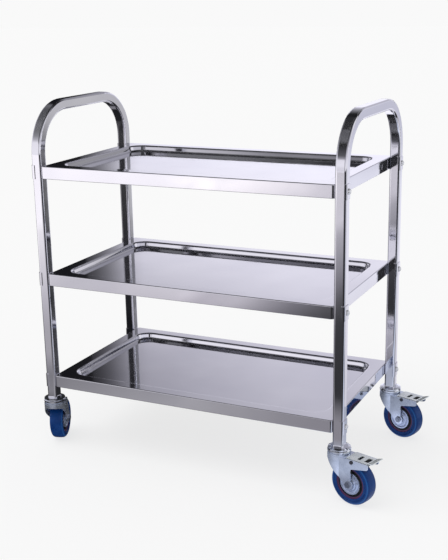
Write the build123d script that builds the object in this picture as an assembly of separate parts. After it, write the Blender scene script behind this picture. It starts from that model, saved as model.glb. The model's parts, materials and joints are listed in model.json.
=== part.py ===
from build123d import *
import math
import os

# Cart frame, in millimetres; z = 0 is the floor and the cart's middle is x = y = 0 until the last shift.
CART_LENGTH = 760.0
CART_WIDTH = 406.0
LEG_FOOT = 60.0
SHELF_PITCH = 255.0
HANDLE_RISE = 143.0
TUBE = 25.0
TUBE_WALL = 1.2
TUBE_CORNER = 5.0
BEND_RADIUS = 105.0

# Shelves: trays pressed down in two steps, between the two side frames.
SHEET = 0.8
SKIRT = 29.0
SKIRT_CORNER = 6.0
SKIRT_EDGE = 2.0
RIM = 17.0
STEP = 4.0
STEP_EDGE = 1.5
LEDGE = 13.0
RECESS_DEPTH = 14.0
RECESS_CORNER = 32.0
RECESS_TAPER = 25.0
RECESS_EDGE = 2.5
RECESS_FOOT = 4.0
HEM = 10.0
STIFFENER_END_ROOM = 55.0
STIFFENER_WIDTH = 70.0
STIFFENER_FLANGE = 14.0
STIFFENER_HEIGHT = 12.0
STIFFENER_SHEET = 1.2

# Shelf joints: saddle clip, dome-head bolt and nut.
CLIP_HEIGHT = 32.0
CLIP_FLANGE = 8.0
CLIP_SHEET = 1.5
CLIP_CORNER = 4.5
BOLT_RADIUS = 3.0
BOLT_HEAD_RADIUS = 6.5
BOLT_HEAD_HEIGHT = 5.0
BOLT_HEAD_EDGE = 1.0
BOLT_TAIL = 3.0
BOLT_CLEARANCE = 0.3
NUT_FLATS = 10.0
NUT_HEIGHT = 5.0
THREAD_CLEARANCE = 0.05

# Wheels; a caster's local x runs from the swivel axis towards the wheel, local y along the axle.
WHEEL_RADIUS = 50.0
WHEEL_WIDTH = 32.0
TRAIL = 39.0
SWIVEL_ANGLES = {"front_left": 110.0, "rear_left": 155.0, "front_right": -17.0, "rear_right": -17.0}
TYRE_DEPTH = 19.0
TYRE_SHOULDER = 8.0
TYRE_CROWN = 0.4
TYRE_BEAD = 3.0
TYRE_SIDE = 1.5
TYRE_STEP = 3.5
TYRE_CHEEK = 1.0
TYRE_GROOVE = 1.2
CORE_RIM = 7.5
CORE_HUB_RADIUS = 10.0
CORE_WEB_HALF = 4.0
HUB_GAP = 0.6
DISC_SEAT = 1.5
DISC_CLEARANCE = 0.4
DISC_SHEET = 1.0
DISC_RIM_HEIGHT = 2.4
DISC_GROOVE_HEIGHT = 1.4
DISC_RING_HEIGHT = 3.4
DISC_HUB_HEIGHT = 5.2
AXLE_RADIUS = 4.0
AXLE_FLATS = 13.0
AXLE_HEAD = 3.2
AXLE_NUT = 3.8
AXLE_TAIL = 0.8
SLEEVE_WALL = 2.0
SLEEVE_CLEARANCE = 0.1

# Swivel: stem in the leg, cup, balls and crown.
INSERT_LENGTH = 34.0
STEM_RADIUS = 6.0
STEM_LENGTH = 30.0
STEM_CHAMFER = 1.0
KING_HEAD_RADIUS = 10.0
KING_HEAD_HEIGHT = 3.5
KING_HEAD_EDGE = 1.5
CROWN_RADIUS = 25.5
CROWN_BORE = 13.0
CROWN_HEIGHT = 8.4
CROWN_STEP = 1.5
CROWN_LIP = 1.9
RACE_GAP = 1.6
BALL_RADIUS = 3.0
BALL_COUNT = 8
CUP_OVERHANG = 0.5
CUP_WALL = 2.0
CUP_BAND = 3.5
CUP_EDGE = 1.0
CUP_NECK = 1.4
CUP_RING = 2.2
CUP_LEDGE = 1.3
CUP_THICKNESS = 8.0
RUNNING_FIT = 0.05
SIDE_GAP = 0.3

# Fork, pressed from one sheet.
TYRE_ROOM = 4.0
FORK_SIDE_ROOM = 3.0
FORK_SHEET = 2.5
FORK_ROUND = 23.5
FORK_APRON = 7.0
FORK_APRON_SLOPE = 4.0
FORK_BACK = 15.0
FORK_LUG = 11.0
FORK_WEB = 36.0
FORK_NECK = 8.0
HORN_WEB = 28.0
HORN_RISE = 2.0
HORN_RUN = 4.0
HORN_REACH = 49.0
HORN_DEPTH = 21.5
HORN_TIP_DEPTH = 11.5
HORN_ROOT_RADIUS = 5.0
HORN_TIP_RADIUS = 4.0

# Brake.
PIVOT_AHEAD = 7.5
PIVOT_DROP = 5.0
PEDAL_PRESS_DEG = 14.0
PEDAL_SHEET = 2.0
PEDAL_SIDE_GAP = 1.0
PEDAL_PROUD = 1.0
PEDAL_CUP_GAP = 5.0
PEDAL_LIP_SETBACK = 4.0
PEDAL_LIP_REACH = 12.0
PEDAL_LIP_RISE = 5.5
PEDAL_BEND = 6.0
PEDAL_EAR_HALF = 6.2
PEDAL_EAR_FOOT = 4.0
PEDAL_SLOTS = ((10.5, 7.5), (30.0, 11.0))
PEDAL_SLOT_WIDTH = 20.0
PIN_RADIUS = 2.5
PIN_HEAD_RADIUS = 4.2
PIN_HEAD_HEIGHT = 1.5
SHOE_AHEAD = 10.5
SHOE_LENGTH = 18.0
SHOE_WIDTH = 24.0
SHOE_DEPTH = 13.0
SHOE_GAP = 0.4

# The box round the whole cart, casters included, is centred on the origin.
CENTRE_X = -13.5
CENTRE_Y = 0.0

# Heights, from the floor up through the casters.
CROWN_UNDERSIDE = 2 * WHEEL_RADIUS + TYRE_ROOM
CROWN_PLATE = CROWN_UNDERSIDE + FORK_SHEET
CROWN_TOP = CROWN_UNDERSIDE + CROWN_HEIGHT
BALL_HEIGHT = CROWN_TOP + RACE_GAP / 2
CUP_CEILING = CROWN_TOP + RACE_GAP
CUP_BOTTOM = CROWN_TOP + CUP_OVERHANG
LEG_BOTTOM = CUP_CEILING + CUP_THICKNESS
SHELF_TOPS = {name: LEG_BOTTOM + LEG_FOOT + SHELF_PITCH * i for i, name in enumerate(("bottom", "middle", "top"))}
HANDLE_TOP = SHELF_TOPS["top"] + HANDLE_RISE
HORN_TOP = CROWN_PLATE + HORN_RISE
HORN_END = TRAIL + HORN_REACH
PEDAL_TOP = HORN_TOP + PEDAL_PROUD
PEDAL_PIVOT = (TRAIL + PIVOT_AHEAD, HORN_TOP - PIVOT_DROP)

# Fits that follow from the sizes above.
LEG_X = CART_LENGTH / 2 - TUBE / 2
LEG_Y = CART_WIDTH / 2 - TUBE / 2
SHELF_LENGTH = CART_LENGTH - 2 * TUBE
BOLT_DROP = SKIRT / 2
HUB = (TRAIL, WHEEL_RADIUS)
FORK_INSIDE = WHEEL_WIDTH + 2 * FORK_SIDE_ROOM
FORK_FACE = FORK_INSIDE / 2 + FORK_SHEET
PEDAL_WIDTH = FORK_INSIDE - 2 * PEDAL_SIDE_GAP
CORE_RADIUS = WHEEL_RADIUS - TYRE_DEPTH
CORE_HALF = WHEEL_WIDTH / 2 - TYRE_STEP
DISC_RADIUS = CORE_RADIUS - CORE_RIM + DISC_SEAT
DISC_BORE = CORE_HUB_RADIUS + DISC_CLEARANCE
SLEEVE_RADIUS = AXLE_RADIUS + SLEEVE_WALL
BALL_CIRCLE = (CROWN_BORE + CROWN_RADIUS) / 2
CUP_RADIUS = CROWN_RADIUS + CUP_OVERHANG
CUP_SHOULDER = TUBE / math.sqrt(2) + CUP_LEDGE
LEGS = {
    "front_left": (-LEG_X, -LEG_Y),
    "rear_left": (-LEG_X, LEG_Y),
    "front_right": (LEG_X, -LEG_Y),
    "rear_right": (LEG_X, LEG_Y),
}


def leg_path():
    """Centre line of one side frame, up a leg, over the handle and down again."""
    top = HANDLE_TOP - TUBE / 2
    turn = BEND_RADIUS * (1 - math.sqrt(0.5))
    side = LEG_Y - BEND_RADIUS
    near_leg = Line((0, -LEG_Y, LEG_BOTTOM), (0, -LEG_Y, top - BEND_RADIUS))
    near_bend = ThreePointArc((0, -LEG_Y, top - BEND_RADIUS), (0, turn - LEG_Y, top - turn), (0, -side, top))
    bar = Line((0, -side, top), (0, side, top))
    far_bend = ThreePointArc((0, side, top), (0, LEG_Y - turn, top - turn), (0, LEG_Y, top - BEND_RADIUS))
    far_leg = Line((0, LEG_Y, top - BEND_RADIUS), (0, LEG_Y, LEG_BOTTOM))
    return Wire([near_leg, near_bend, bar, far_bend, far_leg])


def bolt_spots():
    """Place of each shelf joint, as x sign, y and z."""
    spots = []
    for top in SHELF_TOPS.values():
        for sign in (-1, 1):
            for y in (-LEG_Y, LEG_Y):
                spots.append((sign, y, top - BOLT_DROP))
    return spots


def x_rod(radius, start, end, y, z):
    """Cylinder along x."""
    rod = Cylinder(radius, abs(end - start), rotation=(0, 90, 0))
    return Pos((start + end) / 2, y, z) * rod


def side_frame(sign):
    """One inverted-U tube frame with its bolt holes."""
    path = leg_path()
    start = Plane(origin=(0, -LEG_Y, LEG_BOTTOM), x_dir=(1, 0, 0), z_dir=(0, 0, 1))
    bore = TUBE - 2 * TUBE_WALL
    outside = sweep(start * RectangleRounded(TUBE, TUBE, TUBE_CORNER), path=path)
    inside = sweep(start * RectangleRounded(bore, bore, TUBE_CORNER - TUBE_WALL), path=path)
    tube = Pos(sign * LEG_X, 0, 0) * (outside - inside)
    for side, y, z in bolt_spots():
        if side == sign:
            tube -= x_rod(BOLT_RADIUS + BOLT_CLEARANCE, sign * (LEG_X - TUBE), sign * (LEG_X + TUBE), y, z)
    return tube


def pocket(margin, corner, depth, foot, inset):
    """Sloping recess below z = 0 with a rounded foot; inset moves its wall out to the sheet's far side."""
    slope = math.radians(RECESS_TAPER)
    grow = inset / math.cos(slope) - inset * math.tan(slope)
    edge = margin + depth * math.tan(slope) - grow
    floor = RectangleRounded(SHELF_LENGTH - 2 * edge, CART_WIDTH - 2 * edge, corner + margin - edge)
    hole = extrude(Pos(0, 0, -depth) * floor, depth, taper=-RECESS_TAPER)
    return fillet(hole.faces().sort_by(Axis.Z)[0].edges(), foot + inset)


def round_mouth(block, height, margin, radius):
    """Rounds the mouth of a recess that opens at one height, no more than margin from the shelf's edge."""
    level = block.edges().filter_by_position(Axis.Z, height - 0.01, height + 0.01)
    length = SHELF_LENGTH / 2 - margin
    width = CART_WIDTH / 2 - margin
    mouth = level.filter_by(lambda edge: abs(edge.center().X) < length and abs(edge.center().Y) < width)
    return fillet(mouth, radius)


def tray_block(inset):
    """Solid below a tray's skin, pulled in from the outside by inset."""
    length = SHELF_LENGTH - 2 * inset
    width = CART_WIDTH - 2 * inset
    block = extrude(RectangleRounded(length, width, SKIRT_CORNER - inset), -(SKIRT - inset))
    block = fillet(block.faces().sort_by(Axis.Z)[-1].edges(), SKIRT_EDGE - inset)
    ledge = RIM + STEP * math.tan(math.radians(RECESS_TAPER))
    block -= pocket(RIM, RECESS_CORNER + LEDGE, STEP, STEP_EDGE, inset)
    deep = pocket(ledge + LEDGE, RECESS_CORNER, RECESS_DEPTH - STEP, RECESS_FOOT, inset)
    block -= Pos(0, 0, -STEP) * deep
    block = round_mouth(block, 0, (RIM + SKIRT_EDGE) / 2, STEP_EDGE - inset)
    block = round_mouth(block, -STEP, ledge + LEDGE / 2, RECESS_EDGE - inset)
    return Pos(0, 0, -inset) * block


def shelf(top):
    """One pressed tray with skirt, turned-in hem and bolt holes."""
    skin = tray_block(0.0) - tray_block(SHEET)
    hem = RectangleRounded(SHELF_LENGTH, CART_WIDTH, SKIRT_CORNER)
    hem -= RectangleRounded(SHELF_LENGTH - 2 * HEM, CART_WIDTH - 2 * HEM, SKIRT_CORNER / 2)
    skin += Pos(0, 0, -SKIRT) * extrude(hem, SHEET)
    for sign in (-1, 1):
        for y in (-LEG_Y, LEG_Y):
            edge = sign * SHELF_LENGTH / 2
            skin -= x_rod(BOLT_RADIUS + BOLT_CLEARANCE, edge - 5 * SHEET, edge + 5 * SHEET, y, -BOLT_DROP)
    return Pos(0, 0, top) * skin


def shelf_stiffener(top):
    """Hat channel under one tray."""
    half = STIFFENER_WIDTH / 2
    deep = STIFFENER_HEIGHT
    gauge = STIFFENER_SHEET
    flange = half + STIFFENER_FLANGE
    outline = [
        (-flange, 0), (-half, 0), (-half, -deep + gauge), (half, -deep + gauge), (half, 0), (flange, 0),
        (flange, -gauge), (half + gauge, -gauge), (half + gauge, -deep), (-half - gauge, -deep),
        (-half - gauge, -gauge), (-flange, -gauge),
    ]
    profile = make_face(Polyline(*outline, close=True))
    channel = extrude(Plane.YZ * profile, SHELF_LENGTH / 2 - STIFFENER_END_ROOM, both=True)
    return Pos(0, 0, top - RECESS_DEPTH - SHEET) * channel


def joint_clip(sign, y, z):
    """Saddle clip wrapped over a leg's outer face and round its corners."""
    wide = TUBE + 2 * CLIP_SHEET
    reach = CLIP_FLANGE + CLIP_SHEET
    saddle = Box(reach, wide, CLIP_HEIGHT)
    saddle = fillet(saddle.edges().filter_by(Axis.Z).group_by(Axis.X)[-1], CLIP_CORNER + CLIP_SHEET)
    inside = Pos(-CLIP_SHEET, 0, 0) * Box(reach, TUBE, 2 * CLIP_HEIGHT)
    saddle -= fillet(inside.edges().filter_by(Axis.Z).group_by(Axis.X)[-1], CLIP_CORNER)
    saddle -= x_rod(BOLT_RADIUS + BOLT_CLEARANCE, -reach, reach, 0, 0)
    if sign < 0:
        saddle = mirror(saddle, about=Plane.YZ)
    return Pos(sign * (CART_LENGTH / 2 + CLIP_SHEET - reach / 2), y, z) * saddle


def shelf_bolt(sign, y, z):
    """Dome-head bolt through clip, leg and shelf end."""
    seat = CART_LENGTH / 2 + CLIP_SHEET
    tip = SHELF_LENGTH / 2 - SHEET - NUT_HEIGHT - BOLT_TAIL
    rise = BOLT_HEAD_HEIGHT - BOLT_HEAD_EDGE
    ball = (BOLT_HEAD_RADIUS ** 2 + rise ** 2) / (2 * rise)
    head = Pos(0, 0, BOLT_HEAD_HEIGHT / 2) * Cylinder(BOLT_HEAD_RADIUS, BOLT_HEAD_HEIGHT)
    head &= Pos(0, 0, BOLT_HEAD_HEIGHT - ball) * Sphere(ball)
    head = Pos(sign * seat, y, z) * Rot(0, sign * 90, 0) * head
    return head + x_rod(BOLT_RADIUS, sign * tip, sign * seat, y, z)


def hex_nut(flats, height, bore):
    """Hexagon nut standing on z = 0."""
    nut = extrude(RegularPolygon(flats / 2, 6, major_radius=False), height)
    if bore:
        nut -= Cylinder(bore, 3 * height)
    return nut


def shelf_nut(sign, y, z):
    """Nut inside a shelf end."""
    nut = hex_nut(NUT_FLATS, NUT_HEIGHT, BOLT_RADIUS + THREAD_CLEARANCE)
    seat = SHELF_LENGTH / 2 - SHEET
    return Pos(sign * seat, y, z) * Rot(0, -sign * 90, 0) * nut


def leg_insert(x, y):
    """Threaded plug in a leg end."""
    side = TUBE - 2 * TUBE_WALL - 2 * THREAD_CLEARANCE
    plug = extrude(RectangleRounded(side, side, TUBE_CORNER - TUBE_WALL), INSERT_LENGTH)
    plug -= Cylinder(STEM_RADIUS + THREAD_CLEARANCE, 3 * INSERT_LENGTH)
    return Pos(x, y, LEG_BOTTOM) * plug


def turned(outline):
    """Revolves a closed outline of radius and height about the swivel axis."""
    return revolve(Plane.XZ * make_face(Polyline(*outline, close=True)), Axis.Z)


def ball_groove():
    """V-shaped race that the swivel balls run in."""
    reach = (BALL_RADIUS + RUNNING_FIT) * math.sqrt(2)
    return turned([
        (BALL_CIRCLE - reach, BALL_HEIGHT), (BALL_CIRCLE, BALL_HEIGHT + reach),
        (BALL_CIRCLE + reach, BALL_HEIGHT), (BALL_CIRCLE, BALL_HEIGHT - reach),
    ])


def caster_stem():
    """Threaded stem, king pin and its riveted head in one piece."""
    high = LEG_BOTTOM + STEM_LENGTH
    low = CROWN_UNDERSIDE - SIDE_GAP - KING_HEAD_HEIGHT
    pin = Pos(0, 0, (low + high) / 2) * Cylinder(STEM_RADIUS, high - low)
    pin = chamfer(pin.edges().sort_by(Axis.Z)[-1], STEM_CHAMFER)
    head = Pos(0, 0, low + KING_HEAD_HEIGHT / 2) * Cylinder(KING_HEAD_RADIUS, KING_HEAD_HEIGHT)
    head = fillet(head.edges().sort_by(Axis.Z)[0], KING_HEAD_EDGE)
    return pin + head


def race_cup():
    """Upper race: a cup with a necked-in waist and a sloped shoulder."""
    bore = STEM_RADIUS + THREAD_CLEARANCE
    inside = CUP_RADIUS - CUP_WALL
    band = CUP_BOTTOM + CUP_BAND
    edge = CUP_RADIUS - CUP_EDGE
    neck = edge - CUP_NECK
    ring = LEG_BOTTOM - CUP_RING
    cup = turned([
        (bore, CUP_CEILING), (inside, CUP_CEILING), (inside, CUP_BOTTOM), (CUP_RADIUS, CUP_BOTTOM),
        (CUP_RADIUS, band), (edge, band + CUP_EDGE), (neck, band + CUP_EDGE), (neck, ring), (edge, ring),
        (edge, ring + CUP_EDGE), (CUP_SHOULDER, LEG_BOTTOM), (bore, LEG_BOTTOM),
    ])
    return cup - ball_groove()


def swivel_balls():
    """Ring of loose balls between cup and crown."""
    ball = Pos(BALL_CIRCLE, 0, BALL_HEIGHT) * Sphere(BALL_RADIUS)
    return [Rot(0, 0, 360 / BALL_COUNT * i) * ball for i in range(BALL_COUNT)]


def y_rod(radius, half_length, spot):
    """Cylinder along the axle direction, centred on the caster's middle plane."""
    return Pos(spot[0], 0, spot[1]) * Cylinder(radius, 2 * half_length, rotation=(90, 0, 0))


def side_view(points, radii):
    """Face in the local x-z plane with some corners rounded."""
    face = make_face(Polyline(*points, close=True))
    for spot, radius in radii:
        corner = face.vertices().sort_by_distance((spot[0], spot[1], 0))[0]
        face = fillet(corner, radius)
    return face


def fork_side(braked):
    """Fork seen from the side: apron, cheek, axle lug and, on a braked fork, the horn."""
    behind = -FORK_ROUND - 2 * FORK_SHEET
    apron = CROWN_PLATE - FORK_APRON
    heel = (TRAIL - 0.78 * FORK_LUG, WHEEL_RADIUS - 0.62 * FORK_LUG)
    points = [(behind, CROWN_PLATE), (behind, apron), (-FORK_BACK, apron - FORK_APRON_SLOPE), heel]
    if braked:
        front = TRAIL + FORK_LUG / 2
        root = (front, HORN_TOP - HORN_DEPTH)
        tip = (HORN_END, HORN_TOP - HORN_TIP_DEPTH)
        points += [(front, WHEEL_RADIUS), root, tip, (HORN_END, HORN_TOP)]
        points += [(HORN_WEB + HORN_RUN, HORN_TOP), (HORN_WEB, CROWN_PLATE)]
        radii = [(root, HORN_ROOT_RADIUS), (tip, HORN_TIP_RADIUS), ((HORN_END, HORN_TOP), HORN_TIP_RADIUS / 2)]
    else:
        neck = (FORK_WEB + FORK_SHEET, CROWN_PLATE - FORK_NECK)
        points += [(TRAIL + FORK_LUG, WHEEL_RADIUS), neck, (FORK_WEB, CROWN_PLATE)]
        radii = [(neck, FORK_NECK)]
    lug = Pos(*HUB) * (Circle(FORK_LUG) - Circle(AXLE_RADIUS + BOLT_CLEARANCE))
    return side_view(points, radii) - Pos(*HUB) * Circle(FORK_LUG - FORK_SHEET) + lug


def fork_plan(grow, reach):
    """Fork seen from above: a round back that runs into two straight cheeks."""
    return Circle(FORK_ROUND + grow) + Pos(reach / 2, 0) * Rectangle(reach, FORK_INSIDE + 2 * grow)


def fork(braked):
    """Pressed fork: the sheet seen from above, trimmed to its side view, with its crown plate and lower race."""
    wall = fork_plan(FORK_SHEET, HORN_END) - fork_plan(0, HORN_END + FORK_SHEET)
    side = extrude(Plane.XZ * fork_side(braked), FORK_ROUND + 2 * FORK_SHEET, both=True)
    body = extrude(wall, HORN_TOP) & side
    plate = fork_plan(FORK_SHEET, HORN_WEB if braked else FORK_WEB)
    body += Pos(0, 0, CROWN_UNDERSIDE) * extrude(plate, FORK_SHEET)
    low = CROWN_UNDERSIDE + FORK_SHEET / 2
    lip = CROWN_TOP - CROWN_LIP
    body += turned([
        (CROWN_BORE, low), (CROWN_RADIUS, low), (CROWN_RADIUS, lip), (CROWN_RADIUS - CROWN_STEP, lip),
        (CROWN_RADIUS - CROWN_STEP, CROWN_TOP), (CROWN_BORE, CROWN_TOP),
    ])
    body -= ball_groove()
    body -= Pos(0, 0, CROWN_PLATE) * Cylinder(STEM_RADIUS + RUNNING_FIT, 4 * FORK_SHEET)
    if braked:
        body -= y_rod(PIN_RADIUS + RUNNING_FIT, 2 * FORK_FACE, PEDAL_PIVOT)
    return body


def axle_bolt():
    """Low hexagon bolt across the fork."""
    tail = FORK_FACE + AXLE_NUT + AXLE_TAIL
    shank = y_rod(AXLE_RADIUS, (FORK_FACE + tail) / 2, HUB)
    head = Pos(TRAIL, FORK_FACE, WHEEL_RADIUS) * Rot(-90, 0, 0) * hex_nut(AXLE_FLATS, AXLE_HEAD, 0)
    return Pos(0, (FORK_FACE - tail) / 2, 0) * shank + head


def axle_nut():
    """Thin nut on the axle bolt."""
    nut = hex_nut(AXLE_FLATS, AXLE_NUT, AXLE_RADIUS + THREAD_CLEARANCE)
    return Pos(TRAIL, -FORK_FACE, WHEEL_RADIUS) * Rot(90, 0, 0) * nut


def axle_sleeve():
    """Spacer tube clamped between the cheeks, on which the wheel runs."""
    sleeve = y_rod(SLEEVE_RADIUS, FORK_INSIDE / 2, HUB)
    return sleeve - y_rod(AXLE_RADIUS + SLEEVE_CLEARANCE, FORK_INSIDE, HUB)


def wheel_turn(lines):
    """Revolves a half section, drawn as radius and offset, about the axle."""
    turned_wheel = revolve(Plane.XZ * make_face(lines), Axis.Z)
    return Pos(TRAIL, 0, WHEEL_RADIUS) * Rot(90, 0, 0) * turned_wheel


def wheel_core():
    """Moulded wheel centre: hub, web and rim."""
    hub_end = FORK_INSIDE / 2 - HUB_GAP
    rim_inside = CORE_RADIUS - CORE_RIM
    half = [
        (SLEEVE_RADIUS + RUNNING_FIT, hub_end), (CORE_HUB_RADIUS, hub_end), (CORE_HUB_RADIUS, CORE_WEB_HALF),
        (rim_inside, CORE_WEB_HALF), (rim_inside, CORE_HALF), (CORE_RADIUS, CORE_HALF),
    ]
    outline = half + [(radius, -offset) for radius, offset in reversed(half)]
    return wheel_turn(Polyline(*outline, close=True))


def hub_discs():
    """Dust discs pressed with a hub, a ring and a groove, on both sides of the wheel."""
    reach = DISC_RADIUS - DISC_BORE
    rings = [
        (0.0, DISC_HUB_HEIGHT), (0.18, DISC_HUB_HEIGHT), (0.32, DISC_RING_HEIGHT), (0.52, DISC_RING_HEIGHT),
        (0.7, DISC_GROOVE_HEIGHT), (0.82, DISC_RIM_HEIGHT),
    ]
    face = [(DISC_BORE + share * reach, CORE_HALF + height) for share, height in rings]
    edge = DISC_RADIUS - DISC_SHEET
    rim = CORE_HALF + DISC_RIM_HEIGHT
    lip = [(DISC_RADIUS, rim), (DISC_RADIUS, CORE_HALF), (edge, CORE_HALF), (edge, rim - DISC_SHEET)]
    outline = face + lip + [(radius, offset - DISC_SHEET) for radius, offset in reversed(face)]
    other = [(radius, -offset) for radius, offset in outline]
    return [wheel_turn(Polyline(*line, close=True)) for line in (outline, other)]


def tyre():
    """Rubber tyre with rounded shoulders, a stepped side and a groove below each shoulder."""
    bead = CORE_RADIUS + TYRE_BEAD
    half = WHEEL_WIDTH / 2
    top = WHEEL_RADIUS
    foot = [(CORE_RADIUS, CORE_HALF), (bead, CORE_HALF), (bead + TYRE_SIDE, half - TYRE_CHEEK)]
    side = (top - TYRE_SHOULDER, half)
    groove = [
        (side[0] - 3 * TYRE_GROOVE, half), (side[0] - 2 * TYRE_GROOVE, half - TYRE_GROOVE),
        (side[0] - TYRE_GROOVE, half - TYRE_GROOVE),
    ]
    foot += groove
    knee = (top - 0.3 * TYRE_SHOULDER, half - 0.3 * TYRE_SHOULDER)
    tread = (top - TYRE_CROWN, half - TYRE_SHOULDER)

    def other(spot):
        """Same spot on the wheel's far side."""
        return (spot[0], -spot[1])

    return wheel_turn([
        Polyline(*foot, side),
        ThreePointArc(side, knee, tread),
        ThreePointArc(tread, (top, 0), other(tread)),
        ThreePointArc(other(tread), other(knee), other(side)),
        Polyline(other(side), *[other(spot) for spot in reversed(foot)], foot[0]),
    ])


def brake_pedal():
    """Pressed pedal with two slots, two ears for its pin and a lip turned up for the foot."""
    high = PEDAL_TOP
    low = high - PEDAL_SHEET
    inner = CUP_RADIUS + PEDAL_CUP_GAP
    knee = HORN_END - PEDAL_LIP_SETBACK
    tip = (HORN_END + PEDAL_LIP_REACH, high + PEDAL_LIP_RISE)
    rise = math.atan2(tip[1] - high, tip[0] - knee)
    under = (tip[0] + PEDAL_SHEET * math.sin(rise), tip[1] - PEDAL_SHEET * math.cos(rise))
    corner = (knee + PEDAL_SHEET * math.tan(rise / 2), low)
    points = [(inner, low), corner, under, tip, (knee, high), (inner, high)]
    radii = [(corner, PEDAL_BEND + PEDAL_SHEET), ((knee, high), PEDAL_BEND)]
    pedal = extrude(Plane.XZ * side_view(points, radii), PEDAL_WIDTH / 2, both=True)
    foot = PEDAL_PIVOT[1] - PEDAL_EAR_FOOT
    ear = Pos(PEDAL_PIVOT[0], 0, (foot + high) / 2) * Box(2 * PEDAL_EAR_HALF, PEDAL_SHEET, high - foot)
    for sign in (-1, 1):
        pedal += Pos(0, sign * (PEDAL_WIDTH - PEDAL_SHEET) / 2, 0) * ear
    for ahead, length in PEDAL_SLOTS:
        slot = extrude(RectangleRounded(length, PEDAL_SLOT_WIDTH, PEDAL_SHEET), -PEDAL_SHEET)
        pedal -= Pos(PEDAL_PIVOT[0] + ahead, 0, high) * slot
    return pedal - y_rod(PIN_RADIUS + RUNNING_FIT, FORK_FACE, PEDAL_PIVOT)


def brake_shoe():
    """Block under the pedal, hollowed to the tyre as it lies when the pedal is pressed."""
    top = PEDAL_TOP - PEDAL_SHEET
    middle = PEDAL_PIVOT[0] + SHOE_AHEAD + SHOE_LENGTH / 2
    block = Pos(middle, 0, top - SHOE_DEPTH / 2) * Box(SHOE_LENGTH, SHOE_WIDTH, SHOE_DEPTH)
    turn = math.radians(PEDAL_PRESS_DEG)
    dx = TRAIL - PEDAL_PIVOT[0]
    dz = WHEEL_RADIUS - PEDAL_PIVOT[1]
    hub_x = PEDAL_PIVOT[0] + dx * math.cos(turn) - dz * math.sin(turn)
    hub_z = PEDAL_PIVOT[1] + dx * math.sin(turn) + dz * math.cos(turn)
    return block - y_rod(WHEEL_RADIUS + SHOE_GAP, FORK_FACE, (hub_x, hub_z))


def pedal_pin():
    """Rivet through horns and pedal ears."""
    pin = y_rod(PIN_RADIUS, FORK_FACE, PEDAL_PIVOT)
    for sign in (-1, 1):
        head = y_rod(PIN_HEAD_RADIUS, PIN_HEAD_HEIGHT / 2, PEDAL_PIVOT)
        pin += Pos(0, sign * (FORK_FACE + PIN_HEAD_HEIGHT / 2), 0) * head
    return pin


def caster_pieces(braked):
    """All pieces of one caster in its local frame, as lists of solids by node name."""
    pieces = {
        "caster_stem": [caster_stem()],
        "race_cup": [race_cup()],
        "swivel_balls": swivel_balls(),
        "fork": [fork(braked)],
        "axle_bolt": [axle_bolt()],
        "axle_nut": [axle_nut()],
        "axle_sleeve": [axle_sleeve()],
        "wheel_core": [wheel_core()],
        "hub_discs": hub_discs(),
        "tyre": [tyre()],
    }
    if braked:
        pieces["brake_pedal"] = [brake_pedal()]
        pieces["brake_shoe"] = [brake_shoe()]
        pieces["pedal_pin"] = [pedal_pin()]
    return pieces


def cart_pieces():
    """Every node of the cart, as lists of solids by node name."""
    spots = bolt_spots()
    pieces = {
        "left_side_frame": [side_frame(-1)],
        "right_side_frame": [side_frame(1)],
        "shelf_stiffeners": [shelf_stiffener(top) for top in SHELF_TOPS.values()],
        "joint_clips": [joint_clip(*spot) for spot in spots],
        "shelf_bolts": [shelf_bolt(*spot) for spot in spots],
        "shelf_nuts": [shelf_nut(*spot) for spot in spots],
        "leg_inserts": [leg_insert(*leg) for leg in LEGS.values()],
    }
    for level, top in SHELF_TOPS.items():
        pieces[level + "_shelf"] = [shelf(top)]
    plain = caster_pieces(False)
    braked = caster_pieces(True)
    for corner, (x, y) in LEGS.items():
        place = Pos(x, y, 0) * Rot(0, 0, SWIVEL_ANGLES[corner])
        caster = braked if "right" in corner else plain
        for name, solids in caster.items():
            pieces[corner + "_" + name] = [place * solid for solid in solids]
    return pieces


os.makedirs("parts", exist_ok=True)
for node, solids in cart_pieces().items():
    shifted = [Pos(CENTRE_X, CENTRE_Y, 0) * solid for solid in solids]
    shape = shifted[0] if len(shifted) == 1 else Compound(children=shifted)
    export_step(shape, "parts/" + node + ".step")
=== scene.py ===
"""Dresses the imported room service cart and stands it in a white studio."""

import json
import logging
import math
from dataclasses import dataclass
from enum import Enum
from typing import Any, Iterable

import bmesh
import bpy
from mathutils import Matrix, Vector

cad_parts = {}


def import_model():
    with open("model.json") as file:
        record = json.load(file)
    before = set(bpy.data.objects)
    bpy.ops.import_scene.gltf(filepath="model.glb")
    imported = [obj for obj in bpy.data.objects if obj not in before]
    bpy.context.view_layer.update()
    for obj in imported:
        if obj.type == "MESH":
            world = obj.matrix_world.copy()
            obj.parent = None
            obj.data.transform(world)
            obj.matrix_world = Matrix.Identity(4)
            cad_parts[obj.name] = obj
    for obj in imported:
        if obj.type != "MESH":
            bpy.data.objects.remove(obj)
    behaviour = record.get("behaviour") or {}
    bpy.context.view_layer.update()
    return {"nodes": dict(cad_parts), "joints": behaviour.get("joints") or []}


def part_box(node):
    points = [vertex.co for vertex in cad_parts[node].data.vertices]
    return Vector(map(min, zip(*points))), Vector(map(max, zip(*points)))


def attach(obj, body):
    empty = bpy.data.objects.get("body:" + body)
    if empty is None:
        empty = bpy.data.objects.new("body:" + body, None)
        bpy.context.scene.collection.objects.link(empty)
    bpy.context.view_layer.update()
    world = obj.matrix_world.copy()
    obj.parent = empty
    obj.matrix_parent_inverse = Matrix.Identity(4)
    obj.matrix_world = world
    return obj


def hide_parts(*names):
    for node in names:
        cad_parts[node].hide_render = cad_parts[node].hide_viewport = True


LOG = logging.getLogger("room_service_cart")
Socket = bpy.types.NodeSocket
Colour = tuple[float, float, float]
Pair = tuple[float, float]
Rows = tuple[tuple[float, Colour], ...]

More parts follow.
